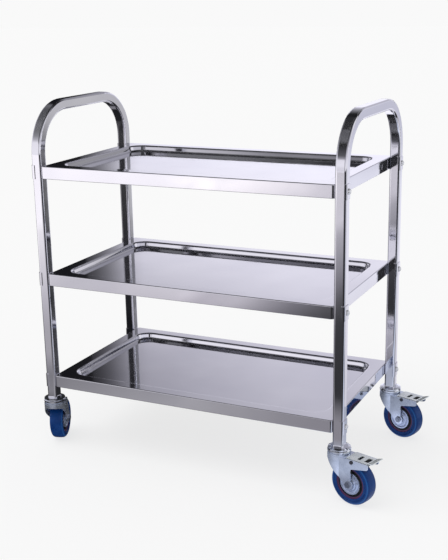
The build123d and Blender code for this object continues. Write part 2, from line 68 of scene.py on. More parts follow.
# Places of a colour Mix node's sockets, which share their names with its other data types.
MIX_SHARE = 0
MIX_UNDER = 6
MIX_UPPER = 7
MIX_RESULT = 2

# The painted dark that metal shows between the reflected room's walls and on the floor,
# and the colour that changes nothing it multiplies.
GAP = (0.03, 0.03, 0.033)
PLAIN = (1.0, 1.0, 1.0)


class Corner(Enum):
    """The four casters, named for the legs that they stand under."""

    FRONT_LEFT = "front_left"
    REAR_LEFT = "rear_left"
    FRONT_RIGHT = "front_right"
    REAR_RIGHT = "rear_right"

    @property
    def braked(self) -> bool:
        """Whether this caster carries a foot brake."""
        return self in (Corner.FRONT_RIGHT, Corner.REAR_RIGHT)


class NodeSheet:
    """Shorthand for one material's node tree."""

    def __init__(self, name: str) -> None:
        """Starts a material with its Principled shader.

        Args:
            name: Name of the material.
        """
        self.material = bpy.data.materials.new(name)
        self.material.use_nodes = True
        self.nodes = self.material.node_tree.nodes
        self.links = self.material.node_tree.links
        self.shader = self.nodes["Principled BSDF"]

    def add(self, kind: str, **values: Any) -> bpy.types.Node:
        """Adds a node and sets its properties, or else its sockets, by name.

        Args:
            kind: Blender's type name of the node.
            values: Properties, or input sockets with spaces written as underscores.

        Returns:
            The new node.
        """
        node = self.nodes.new(kind)
        for key, value in values.items():
            if key in node.bl_rna.properties:
                setattr(node, key, value)
            else:
                node.inputs[key.replace("_", " ")].default_value = value
        return node

    def link(self, source: Socket, target: Socket) -> None:
        """Joins two sockets.

        Args:
            source: Output of one node.
            target: Input of another.
        """
        self.links.new(source, target)

    def fix(self, name: str, value: float | tuple[float, ...]) -> None:
        """Sets one of the shader's own sockets.

        Args:
            name: The socket.
            value: A number, or a colour with its alpha.
        """
        self.shader.inputs[name].default_value = value

    def feed(self, name: str, source: Socket) -> None:
        """Drives one of the shader's own sockets.

        Args:
            name: The socket.
            source: What drives it.
        """
        self.link(source, self.shader.inputs[name])

    def place(self, location: Iterable[float] = (0, 0, 0), turn: Iterable[float] = (0, 0, 0),
              scale: Iterable[float] = (1, 1, 1)) -> Socket:
        """Object coordinates moved, turned and scaled.

        Args:
            location: Shift in metres, after the turn.
            turn: Euler angles in radians.
            scale: Factor on each axis.

        Returns:
            The mapped vector socket.
        """
        source = self.add("ShaderNodeTexCoord")
        mapping = self.add("ShaderNodeMapping")
        mapping.inputs["Location"].default_value = tuple(location)
        mapping.inputs["Rotation"].default_value = tuple(turn)
        mapping.inputs["Scale"].default_value = tuple(scale)
        self.link(source.outputs["Object"], mapping.inputs["Vector"])
        return mapping.outputs["Vector"]

    def noise(self, vector: Socket, scale: float, detail: float) -> Socket:
        """Noise value on a vector.

        Args:
            vector: Coordinates.
            scale: Repeats per metre.
            detail: Octaves.

        Returns:
            The value socket, from 0 to 1.
        """
        texture = self.add("ShaderNodeTexNoise", Scale=scale, Detail=detail)
        self.link(vector, texture.inputs["Vector"])
        return texture.outputs["Fac"]

    def spread(self, value: Socket, low: float, high: float, start: float = 0.3,
               end: float = 0.7) -> Socket:
        """Maps a value's middle range onto new limits.

        Args:
            value: Socket to map.
            low: Result at start.
            high: Result at end.
            start: Value that gives low.
            end: Value that gives high.

        Returns:
            The mapped socket.
        """
        node = self.add("ShaderNodeMapRange")
        for name, number in (("From Min", start), ("From Max", end), ("To Min", low), ("To Max", high)):
            node.inputs[name].default_value = number
        self.link(value, node.inputs["Value"])
        return node.outputs["Result"]

    def blend(self, value: Socket, stops: Iterable[tuple[float, Colour]]) -> Socket:
        """Colour ramp over a value.

        Args:
            value: Socket that drives the ramp.
            stops: Positions and colours in order.

        Returns:
            The colour socket.
        """
        ramp = self.add("ShaderNodeValToRGB")
        elements = ramp.color_ramp.elements
        stops = list(stops)
        while len(elements) < len(stops):
            elements.new(0.5)
        for element, (position, colour) in zip(elements, stops):
            element.position = position
            element.color = (*colour, 1.0)
        self.link(value, ramp.inputs["Fac"])
        return ramp.outputs["Color"]

    def over(self, under: Socket | Colour, share: Socket, upper: Socket | Colour) -> Socket:
        """Lays one colour over another.

        Args:
            under: Colour below, plain or from a socket.
            share: How much of the upper colour shows.
            upper: The upper colour, plain or from a socket.

        Returns:
            The mixed colour socket.
        """
        mix = self.add("ShaderNodeMix", data_type="RGBA")
        self.link(share, mix.inputs[MIX_SHARE])
        for place, colour in ((MIX_UNDER, under), (MIX_UPPER, upper)):
            if isinstance(colour, tuple):
                mix.inputs[place].default_value = (*colour, 1.0)
            else:
                self.link(colour, mix.inputs[place])
        return mix.outputs[MIX_RESULT]

    def times(self, first: Socket, second: Socket) -> Socket:
        """Multiplies two colours.

        Args:
            first: One colour.
            second: The other.

        Returns:
            The product's socket.
        """
        product = self.add("ShaderNodeMix", data_type="RGBA", blend_type="MULTIPLY")
        product.inputs[MIX_SHARE].default_value = 1.0
        self.link(first, product.inputs[MIX_UNDER])
        self.link(second, product.inputs[MIX_UPPER])
        return product.outputs[MIX_RESULT]

    def bump(self, value: Socket, depth: float, strength: float, under: Socket | None = None) -> Socket:
        """Bump from a height value.

        Args:
            value: Height, 0 to 1.
            depth: Height of 1 in metres.
            strength: Share of the effect.
            under: Normal to build on.

        Returns:
            The normal socket.
        """
        node = self.add("ShaderNodeBump", Strength=strength, Distance=depth)
        self.link(value, node.inputs["Height"])
        if under is not None:
            self.link(under, node.inputs["Normal"])
        return node.outputs["Normal"]


@dataclass(frozen=True)
class PolishedSteel:
    """Mirror-polished stainless sheet and tube, a little wavy and smudged, with fine polishing lines."""

    name: str
    light: Colour = (0.83, 0.83, 0.86)
    dark: Colour = (0.74, 0.74, 0.785)
    cloud_scale: float = 5.0
    smooth: float = 0.035
    smudged: float = 0.1
    smudge_scale: float = 22.0
    wave_depth: float = 0.0006
    wave_scale: float = 7.0
    wave_strength: float = 0.5
    line_scale: tuple[float, float, float] = (60, 900, 900)
    line_depth: float = 0.00001
    line_strength: float = 0.12

    def make(self) -> bpy.types.Material:
        """Builds the material.

        Returns:
            The finished material.
        """
        sheet = NodeSheet(self.name)
        sheet.fix("Metallic", 1.0)
        where = sheet.place()
        smudge = sheet.noise(where, self.smudge_scale, detail=5.0)
        sheet.feed("Roughness", sheet.spread(smudge, self.smooth, self.smudged))
        cloud = sheet.noise(where, self.cloud_scale, detail=2.0)
        sheet.feed("Base Color", sheet.blend(cloud, ((0.3, self.dark), (0.7, self.light))))
        swell = sheet.noise(where, self.wave_scale, detail=1.0)
        wave = sheet.bump(swell, self.wave_depth, self.wave_strength)
        lines = sheet.noise(sheet.place(scale=self.line_scale), scale=1.0, detail=2.0)
        sheet.feed("Normal", sheet.bump(lines, self.line_depth, self.line_strength, wave))
        return sheet.material


@dataclass(frozen=True)
class ZincPlate:
    """Bright zinc plating with a faint blue cast and fine grain."""

    name: str
    light: Colour = (0.74, 0.80, 0.92)
    dark: Colour = (0.62, 0.68, 0.80)
    cloud_scale: float = 60.0
    smooth: float = 0.13
    rough: float = 0.22
    rough_scale: float = 140.0
    metallic: float = 0.85
    grain_scale: float = 1500.0
    grain_depth: float = 0.00002
    grain_strength: float = 0.15

    def make(self) -> bpy.types.Material:
        """Builds the material.

        Returns:
            The finished material.
        """
        sheet = NodeSheet(self.name)
        sheet.fix("Metallic", self.metallic)
        where = sheet.place()
        cloud = sheet.noise(where, self.cloud_scale, detail=4.0)
        sheet.feed("Base Color", sheet.blend(cloud, ((0.32, self.dark), (0.68, self.light))))
        patch = sheet.noise(where, self.rough_scale, detail=3.0)
        sheet.feed("Roughness", sheet.spread(patch, self.smooth, self.rough))
        grain = sheet.noise(where, self.grain_scale, detail=2.0)
        sheet.feed("Normal", sheet.bump(grain, self.grain_depth, self.grain_strength))
        return sheet.material


@dataclass(frozen=True)
class WheelSpot:
    """Where a wheel's axle lies, for patterns that go round it."""

    centre: Vector
    axle: Vector

    def mapped(self, sheet: NodeSheet) -> Socket:
        """Coordinates with the axle along z and the wheel's centre at zero.

        Args:
            sheet: Material to add the nodes to.

        Returns:
            The mapped vector socket.
        """
        turn = self.axle.rotation_difference(Vector((0, 0, 1))).to_matrix()
        return sheet.place(location=-(turn @ self.centre), turn=turn.to_euler())

    def radius(self, sheet: NodeSheet) -> Socket:
        """Distance from the axle in metres.

        Args:
            sheet: Material to add the nodes to.

        Returns:
            The value socket.
        """
        flat = sheet.add("ShaderNodeVectorMath", operation="MULTIPLY")
        flat.inputs[1].default_value = (1, 1, 0)
        sheet.link(self.mapped(sheet), flat.inputs[0])
        length = sheet.add("ShaderNodeVectorMath", operation="LENGTH")
        sheet.link(flat.outputs["Vector"], length.inputs[0])
        return length.outputs["Value"]


@dataclass(frozen=True)
class TyreRubber:
    """Navy elastic rubber, with a plum-coloured ring at its foot and a painted highlight along its
    shoulder.
    """

    name: str
    spot: WheelSpot
    navy: Colour = (0.001, 0.026, 0.14)
    scuffed: Colour = (0.002, 0.046, 0.21)
    scuff_scale: float = 45.0
    ring: Colour = (0.085, 0.03, 0.085)
    ring_inside: float = 0.0315
    ring_outside: float = 0.0345
    # Painted highlight: a paler band along the shoulder, between these radii.
    shoulder_highlight: Colour = (0.012, 0.09, 0.3)
    shoulder_highlight_inside: float = 0.0452
    shoulder_highlight_outside: float = 0.0466
    edge: float = 0.0008
    sheen: float = 0.2
    smooth: float = 0.24
    rough: float = 0.42
    rough_scale: float = 90.0
    grain_scale: float = 1200.0
    grain_depth: float = 0.00006
    grain_strength: float = 0.35

    def make(self) -> bpy.types.Material:
        """Builds the material.

        Returns:
            The finished material.
        """
        sheet = NodeSheet(self.name)
        sheet.fix("Specular IOR Level", self.sheen)
        where = sheet.place()
        cloud = sheet.noise(where, self.scuff_scale, detail=5.0)
        body = sheet.blend(cloud, ((0.3, self.navy), (0.72, self.scuffed)))
        body = self.banded(sheet, body, self.ring, self.ring_inside, self.ring_outside)
        # Painted highlight along the shoulder.
        body = self.banded(sheet, body, self.shoulder_highlight, self.shoulder_highlight_inside, self.shoulder_highlight_outside)
        sheet.feed("Base Color", body)
        patch = sheet.noise(where, self.rough_scale, detail=4.0)
        sheet.feed("Roughness", sheet.spread(patch, self.smooth, self.rough))
        grain = sheet.noise(where, self.grain_scale, detail=3.0)
        sheet.feed("Normal", sheet.bump(grain, self.grain_depth, self.grain_strength))
        return sheet.material

    def banded(self, sheet: NodeSheet, body: Socket, colour: Colour, inside: float,
               outside: float) -> Socket:
        """Lays a ring of another colour over the rubber: both the plum ring and the painted shoulder
        highlight.

        Args:
            sheet: Material to add the nodes to.
            body: Colour below.
            colour: The ring's colour.
            inside: Inner radius of the ring.
            outside: Outer radius of the ring.

        Returns:
            The banded colour socket.
        """
        radius = self.spot.radius(sheet)
        rise = sheet.spread(radius, 0.0, 1.0, inside - self.edge, inside)
        fall = sheet.spread(radius, 1.0, 0.0, outside, outside + self.edge)
        band = sheet.add("ShaderNodeMath", operation="MULTIPLY")
        sheet.link(rise, band.inputs[0])
        sheet.link(fall, band.inputs[1])
        return sheet.over(body, band.outputs["Value"], colour)


@dataclass(frozen=True)
class SpunDisc:
    """Zinc-plated pressing with fine rings round the axle."""

    name: str
    spot: WheelSpot
    light: Colour = (0.57, 0.65, 0.84)
    dark: Colour = (0.32, 0.375, 0.53)
    metallic: float = 0.7
    ring_scale: float = 1400.0
    smooth: float = 0.16
    rough: float = 0.32
    ring_depth: float = 0.00004
    ring_strength: float = 0.4

    def make(self) -> bpy.types.Material:
        """Builds the material.

        Returns:
            The finished material.
        """
        sheet = NodeSheet(self.name)
        sheet.fix("Metallic", self.metallic)
        rings = sheet.add("ShaderNodeTexNoise", noise_dimensions="1D", Scale=self.ring_scale, Detail=3.0)
        sheet.link(self.spot.radius(sheet), rings.inputs["W"])
        value = rings.outputs["Fac"]
        sheet.feed("Base Color", sheet.blend(value, ((0.3, self.dark), (0.7, self.light))))
        sheet.feed("Roughness", sheet.spread(value, self.smooth, self.rough))
        sheet.feed("Normal", sheet.bump(value, self.ring_depth, self.ring_strength))
        return sheet.material


@dataclass(frozen=True)
class Moulding:
    """Dark moulded nylon or rubber with a fine grain."""

    name: str
    colour: Colour = (0.005, 0.005, 0.006)
    worn: Colour = (0.014, 0.014, 0.016)
    cloud_scale: float = 120.0
    sheen: float = 0.15
    smooth: float = 0.38
    rough: float = 0.6
    grain_scale: float = 1800.0
    grain_depth: float = 0.00005
    grain_strength: float = 0.3

    def make(self) -> bpy.types.Material:
        """Builds the material.

        Returns:
            The finished material.
        """
        sheet = NodeSheet(self.name)
        sheet.fix("Specular IOR Level", self.sheen)
        where = sheet.place()
        cloud = sheet.noise(where, self.cloud_scale, detail=4.0)
        sheet.feed("Base Color", sheet.blend(cloud, ((0.35, self.colour), (0.75, self.worn))))
        sheet.feed("Roughness", sheet.spread(cloud, self.smooth, self.rough))
        grain = sheet.noise(where, self.grain_scale, detail=2.0)
        sheet.feed("Normal", sheet.bump(grain, self.grain_depth, self.grain_strength))
        return sheet.material


class Dresser:
    """Puts finishes on the frame's own nodes."""

    def __init__(self, nodes: dict[str, bpy.types.Object]) -> None:
        """Keeps the frame's nodes.

        Args:
            nodes: Objects by node name.
        """
        self.nodes = nodes

    def dress(self, name: str, material: bpy.types.Material) -> None:
        """Gives one node its finish.

        Args:
            name: Node to dress.
            material: Finish for all of its faces.
        """
        piece = self.nodes[name]
        piece.data.materials.clear()
        piece.data.materials.append(material)
        LOG.info("%s wears %s", name, material.name)


@dataclass(frozen=True)
class Ring:
    """One rounded outline of a tray's pressing, and the bend that the sheet takes along it."""

    inset: float
    corner: float
    drop: float
    bend: float = 0.0
    bend_steps: int = 0


@dataclass(frozen=True)
class PressedTray:
    """Shelf pressed from one sheet: turned-in hem, skirt, flat rim and a recess with one rounded step."""

    level: str
    sheet: float = 0.0008
    hem: float = 0.01
    hem_corner: float = 0.003
    hem_bend: float = 0.0012
    hem_steps: int = 2
    skirt_corner: float = 0.006
    skirt_bend: float = 0.002
    skirt_steps: int = 5
    rim: float = 0.031
    recess_corner: float = 0.034
    recess_depth: float = 0.014
    wall_lean: float = 14.0
    wall_radius: float = 0.005
    wall_steps: int = 8
    corner_steps: int = 10
    stack_gap: float = 0.2
    flat_weight: int = 100

    @property
    def node(self) -> str:
        """The frame's shelf that this tray stands for."""
        return self.level + "_shelf"

    def rings(self, skirt: float) -> tuple[Ring, ...]:
        """The outlines that the sheet passes through, from the hem's edge to the floor of the recess.

        Args:
            skirt: Height of the skirt.

        Returns:
            The rings in order.
        """
        run = self.recess_depth * math.tan(math.radians(self.wall_lean))
        bend = self.wall_radius * math.tan(math.radians(90 - self.wall_lean) / 2)
        foot_corner = self.recess_corner - run
        return (Ring(self.hem, self.hem_corner, skirt),
                Ring(0.0, self.skirt_corner, skirt, self.hem_bend, self.hem_steps),
                Ring(0.0, self.skirt_corner, 0.0, self.skirt_bend, self.skirt_steps),
                Ring(self.rim, self.recess_corner, 0.0, bend, self.wall_steps),
                Ring(self.rim + run, foot_corner, self.recess_depth, bend, self.wall_steps))

    def outline(self, mesh: bmesh.types.BMesh, size: Vector, ring: Ring) -> list[bmesh.types.BMVert]:
        """Lays one rounded rectangle at zero height.

        Args:
            mesh: Mesh to add it to.
            size: Size of the whole tray.
            ring: The outline.

        Returns:
            Its vertices, which share one face.
        """
        corners = bmesh.ops.create_grid(mesh, x_segments=1, y_segments=1, size=0.5)["verts"]
        bmesh.ops.scale(mesh, vec=(size.x - 2 * ring.inset, size.y - 2 * ring.inset, 1), verts=corners)
        rounded = bmesh.ops.bevel(mesh, geom=corners, offset=ring.corner, offset_type="OFFSET",
                                  affect="VERTICES", segments=self.corner_steps, profile=0.5, material=-1)
        return rounded["verts"]

    def press(self, size: Vector) -> bmesh.types.BMesh:
        """Joins the outlines into a sheet and bends it along them.

        The outlines are set apart in height while they are joined, so that each meets the next one.

        Args:
            size: Size of the whole tray.

        Returns:
            The sheet's outer skin, with its top at zero height.
        """
        mesh = bmesh.new()
        rings = self.rings(size.z)
        loops = [self.outline(mesh, size, ring) for ring in rings]
        faces = [loop[0].link_faces[0] for loop in loops]
        edges = [list(face.edges) for face in faces]
        for place, loop in enumerate(loops):
            bmesh.ops.translate(mesh, vec=(0, 0, place * self.stack_gap), verts=loop)
        bmesh.ops.delete(mesh, geom=faces[:-1], context="FACES_ONLY")
        for outer, inner in zip(edges, edges[1:]):
            bmesh.ops.bridge_loops(mesh, edges=outer + inner)
        for place, (loop, ring) in enumerate(zip(loops, rings)):
            bmesh.ops.translate(mesh, vec=(0, 0, -ring.drop - place * self.stack_gap), verts=loop)
        for ring, bent in zip(rings, edges):
            if ring.bend:
                bmesh.ops.bevel(mesh, geom=bent, offset=ring.bend, offset_type="OFFSET", affect="EDGES",
                                segments=ring.bend_steps, profile=0.5, material=-1)
        bmesh.ops.recalc_face_normals(mesh, faces=mesh.faces[:])
        return mesh

    def build(self, finish: bpy.types.Material) -> None:
        """Makes the tray in place of its node.

        Args:
            finish: Material for all of its faces.
        """
        low, high = (Vector(corner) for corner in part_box(self.node))
        mesh = self.press(high - low)
        middle = (low + high) / 2
        bmesh.ops.translate(mesh, vec=(middle.x, middle.y, high.z), verts=mesh.verts[:])
        for face in mesh.faces:
            face.smooth = True
        skin = bpy.data.meshes.new(self.level + "_pressed_tray")
        mesh.to_mesh(skin)
        mesh.free()
        skin.materials.append(finish)
        tray = bpy.data.objects.new(skin.name, skin)
        bpy.context.scene.collection.objects.link(tray)
        gauge = tray.modifiers.new("sheet_gauge", "SOLIDIFY")
        gauge.thickness = self.sheet
        gauge.offset = -1.0
        gauge.use_even_offset = True
        flats = tray.modifiers.new("flat_faces", "WEIGHTED_NORMAL")
        flats.weight = self.flat_weight
        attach(tray, "cart_frame")
        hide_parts(self.node)
        LOG.info("%s stands for %s", tray.name, self.node)


@dataclass
class CartFrame:
    """Side frames, trays and the hardware that joins them."""

    tubes: tuple[str, ...] = ("left_side_frame", "right_side_frame")
    levels: tuple[str, ...] = ("top", "middle", "bottom")
    clips: tuple[str, ...] = ("joint_clips",)
    bolts: tuple[str, ...] = ("shelf_bolts",)
    inside: tuple[str, ...] = ("shelf_nuts", "leg_inserts")
    channels: tuple[str, ...] = ("shelf_stiffeners",)

    def dress(self, dresser: Dresser) -> None:
        """Builds the trays and dresses every other node of the cart's frame.

        Args:
            dresser: Holder of the frame's nodes.
        """
        tube = PolishedSteel("polished_tube", wave_depth=0.0003).make()
        tray = PolishedSteel("polished_tray", wave_depth=0.0009, wave_scale=4.0).make()
        clip = PolishedSteel("polished_clip", smooth=0.06, smudged=0.13).make()
        bolt = ZincPlate("satin_bolt", light=(0.84, 0.85, 0.88), dark=(0.7, 0.71, 0.75),
                         metallic=0.5).make()
        zinc = ZincPlate("zinc_inner_hardware").make()
        dull = PolishedSteel("mill_finish_channel", smooth=0.22, smudged=0.34).make()
        for level in self.levels:
            PressedTray(level).build(tray)
        finishes = ((self.tubes, tube), (self.clips, clip), (self.bolts, bolt), (self.inside, zinc),
                    (self.channels, dull))
        for names, finish in finishes:
            for name in names:
                dresser.dress(name, finish)


@dataclass
class Caster:
    """One swivel caster."""

    corner: Corner
    spot: WheelSpot

    def dress(self, dresser: Dresser) -> None:
        """Dresses every node of this caster.

        Args:
            dresser: Holder of the frame's nodes.
        """
        name = self.corner.value
        zinc = ZincPlate(name + "_zinc").make()
        bright = ZincPlate(name + "_bright_zinc", light=(0.84, 0.86, 0.9), dark=(0.74, 0.77, 0.83),
                           smooth=0.04, rough=0.09, metallic=1.0).make()
        axle = ZincPlate(name + "_axle_zinc", light=(0.3, 0.32, 0.38), dark=(0.18, 0.2, 0.25)).make()
        pieces = {"fork": zinc, "race_cup": bright, "caster_stem": bright, "swivel_balls": bright,
                  "axle_bolt": axle, "axle_nut": axle, "axle_sleeve": zinc,
                  "hub_discs": SpunDisc(name + "_spun_disc", self.spot).make(),
                  "wheel_core": Moulding(name + "_black_nylon").make(),
                  "tyre": TyreRubber(name + "_navy_rubber", self.spot).make()}
        if self.corner.braked:
            pieces["brake_pedal"] = ZincPlate(name + "_pedal_zinc", light=(0.78, 0.82, 0.82),
                                              dark=(0.62, 0.67, 0.68), metallic=0.6).make()
            pieces["pedal_pin"] = ZincPlate(name + "_dark_pin", light=(0.12, 0.125, 0.14),
                                            dark=(0.06, 0.06, 0.07)).make()
            pieces["brake_shoe"] = Moulding(name + "_shoe_rubber").make()
        for piece, material in pieces.items():
            dresser.dress(f"{name}_{piece}", material)


@dataclass(frozen=True)
class MirrorCard:
    """Glowing surface that only polished metal shows: a painted reflection of the room round the cart."""

    name: str

    def sheet(self) -> NodeSheet:
        """Starts the card's material, which only glows.

        Returns:
            The node sheet, with a black Principled shader.
        """
        sheet = NodeSheet(self.name + "_glow")
        sheet.fix("Base Color", (0, 0, 0, 1))
        sheet.fix("Specular IOR Level", 0.0)
        sheet.fix("Emission Strength", 1.0)
        return sheet

    def hang(self, card: bpy.types.Object, sheet: NodeSheet) -> None:
        """Finishes the card and hides it from everything but reflections.

        Args:
            card: Mesh of the card.
            sheet: Its material's nodes.
        """
        card.name = self.name
        card.data.materials.append(sheet.material)
        card.visible_camera = False
        card.visible_diffuse = False
        card.visible_shadow = False
        card.visible_transmission = False


@dataclass(frozen=True)
class Zone:
    """Slice of the room's painted reflection, by compass angle from +Y towards +X, with its glow at each
    height.

    Its glow is full up to one angle from its middle, and is gone at another. A height is the sine of the
    angle above the horizon.
    """

    towards: float
    full: float
    none: float
    rows: Rows


# Painted reflection of the room, by height: its side walls, and the ceiling behind the cart.
SIDE_WALL_REFLECTION = (
    (-0.3, (0.5, 0.49, 0.53)), (-0.05, (0.6, 0.59, 0.63)), (0.02, (0.95, 0.94, 1.0)),
    (0.2, (0.85, 0.84, 0.92)), (0.4, (0.6, 0.59, 0.66)), (0.6, (0.35, 0.345, 0.38)),
    (0.8, (0.1, 0.1, 0.11)), (0.95, (0.02, 0.02, 0.022)))
BACK_CEILING_REFLECTION = (
    (0.68, (0.2, 0.2, 0.22)), (0.8, (0.02, 0.02, 0.022)), (0.93, (0.01, 0.01, 0.011)),
    (0.99, (0.12, 0.12, 0.13)))


@dataclass(frozen=True)
class RoomReflection(MirrorCard):
    """Painted reflection of the room: a dark dome with pale walls, a bright backdrop behind the cart, and
    dark gaps beside it.

    The zones lie over each other in order.
    """

    radius: float = 9.0
    segments: int = 48
    ring_count: int = 24
    lowest: float = -0.5
    zones: tuple[Zone, ...] = (
        Zone(110, 50, 58, SIDE_WALL_REFLECTION),
        Zone(269, 33, 41, SIDE_WALL_REFLECTION),
        Zone(39, 5, 8, (
            (-0.06, GAP), (0.0, (0.7, 0.68, 0.74)), (0.14, (0.8, 0.78, 0.84)), (0.18, (0.6, 0.59, 0.63)),
            (0.23, GAP))),
        Zone(197, 13, 21, (
            (0.0, (0.80, 0.78, 0.85)), (0.14, (1.0, 0.98, 1.05)), (0.3, (0.95, 0.93, 1.0)),
            (0.36, (0.35, 0.34, 0.38)), (0.44, (0.12, 0.12, 0.13)), (0.63, (0.05, 0.05, 0.055)),
            (0.73, (0.01, 0.01, 0.011)), (0.79, (0.1, 0.1, 0.11)), (0.86, (0.15, 0.15, 0.16)),
            (0.98, (0.14, 0.14, 0.15)))),
        Zone(222, 10, 18, (
            (0.0, (1.0, 0.98, 1.05)), (0.32, (0.95, 0.93, 1.0)), (0.4, (0.55, 0.54, 0.59)),
            (0.5, (0.3, 0.3, 0.32)), (0.63, (0.18, 0.18, 0.19)), (0.79, (0.13, 0.13, 0.14)),
            (0.98, (0.1, 0.1, 0.11)))),
        Zone(-1.6, 30, 35.4, (
            (-0.12, (1.04, 1.03, 1.13)), (-0.08, GAP), (0.07, GAP), (0.1, (0.95, 0.94, 1.06)),
            (0.156, (0.89, 0.88, 1.03)), (0.26, (0.83, 0.815, 0.91)), (0.358, (0.415, 0.405, 0.465)),
            (0.5, (0.3, 0.295, 0.33)), *BACK_CEILING_REFLECTION)),
        Zone(-8, 11, 24, (
            (-0.12, (1.15, 1.14, 1.25)), (-0.08, GAP), (0.07, GAP), (0.1, (1.08, 1.07, 1.2)),
            (0.156, (1.03, 1.02, 1.18)), (0.26, (1.03, 1.01, 1.12)), (0.358, (0.69, 0.675, 0.77)),
            (0.5, (0.45, 0.44, 0.5)), *BACK_CEILING_REFLECTION)),
        Zone(18.2, 13.3, 15.4, (
            (-0.36, (0.7, 0.69, 0.77)), (-0.28, (0.82, 0.81, 0.89)), (-0.2, (0.93, 0.92, 1.02)),
            (-0.1, (0.9, 0.9, 1.01)), (-0.03, (0.62, 0.62, 0.73)), (0.1, (0.75, 0.75, 0.86)),
            (0.4, (0.5, 0.49, 0.56)), *BACK_CEILING_REFLECTION)),
        Zone(30.5, 2.5, 4, (
            (-0.3, (0.12, 0.12, 0.13)), (-0.23, (0.16, 0.16, 0.17)), (-0.14, (0.47, 0.465, 0.48)),
            (-0.1, (0.58, 0.575, 0.59)), (0.1, (0.6, 0.59, 0.62)), (0.2, (0.35, 0.345, 0.37)),
            (0.3, (0.2, 0.2, 0.21)), (0.45, (0.12, 0.12, 0.13)), (0.7, (0.02, 0.02, 0.022)))),
    )

    def build(self) -> None:
        """Makes the dome."""
        bpy.ops.mesh.primitive_uv_sphere_add(segments=self.segments, ring_count=self.ring_count,
                                             radius=self.radius)
        dome = bpy.context.object
        sheet = self.sheet()
        ray = sheet.add("ShaderNodeVectorMath", operation="NORMALIZE")
        sheet.link(sheet.place(), ray.inputs[0])
        parts = sheet.add("ShaderNodeSeparateXYZ")
        sheet.link(ray.outputs["Vector"], parts.inputs["Vector"])
        height = sheet.spread(parts.outputs["Z"], 0, 1, self.lowest, 1)
        level = sheet.add("ShaderNodeVectorMath", operation="NORMALIZE")
        sheet.link(sheet.place(scale=(1, 1, 0)), level.inputs[0])
        glow: Socket | Colour = GAP
        for zone in self.zones:
            rows = [((at - self.lowest) / (1 - self.lowest), colour) for at, colour in zone.rows]
            share = self.share(sheet, level.outputs["Vector"], zone)
            glow = sheet.over(glow, share, sheet.blend(height, rows))
        sheet.feed("Emission Color", glow)
        self.hang(dome, sheet)

    def share(self, sheet: NodeSheet, level: Socket, zone: Zone) -> Socket:
        """How far a level direction lies in a zone.

        Args:
            sheet: Material to add the nodes to.
            level: The direction.
            zone: Slice of the room.

        Returns:
            The value socket, 1 inside and 0 outside.
        """
        angle = math.radians(zone.towards)
        aim = sheet.add("ShaderNodeVectorMath", operation="DOT_PRODUCT")
        aim.inputs[1].default_value = (math.sin(angle), math.cos(angle), 0)
        sheet.link(level, aim.inputs[0])
        edges = math.cos(math.radians(zone.none)), math.cos(math.radians(zone.full))
        return sheet.spread(aim.outputs["Value"], 0, 1, *edges)


@dataclass(frozen=True)
class Pool:
    """Round pool of light or shade on the floor, with its rows from its middle outwards."""

    middle: Pair
    reach: Pair
    rows: Rows

    def ramp(self, sheet: NodeSheet) -> Socket:
        """Colour that changes with the distance from the pool's middle.

        Args:
            sheet: Material to add the nodes to.

        Returns:
            The colour socket.
        """
        scale = (1 / self.reach[0], 1 / self.reach[1], 0)
        shift = (-self.middle[0] * scale[0], -self.middle[1] * scale[1], 0)
        away = sheet.add("ShaderNodeVectorMath", operation="LENGTH")
        sheet.link(sheet.place(location=shift, scale=scale), away.inputs[0])
        return sheet.blend(away.outputs["Value"], self.rows)


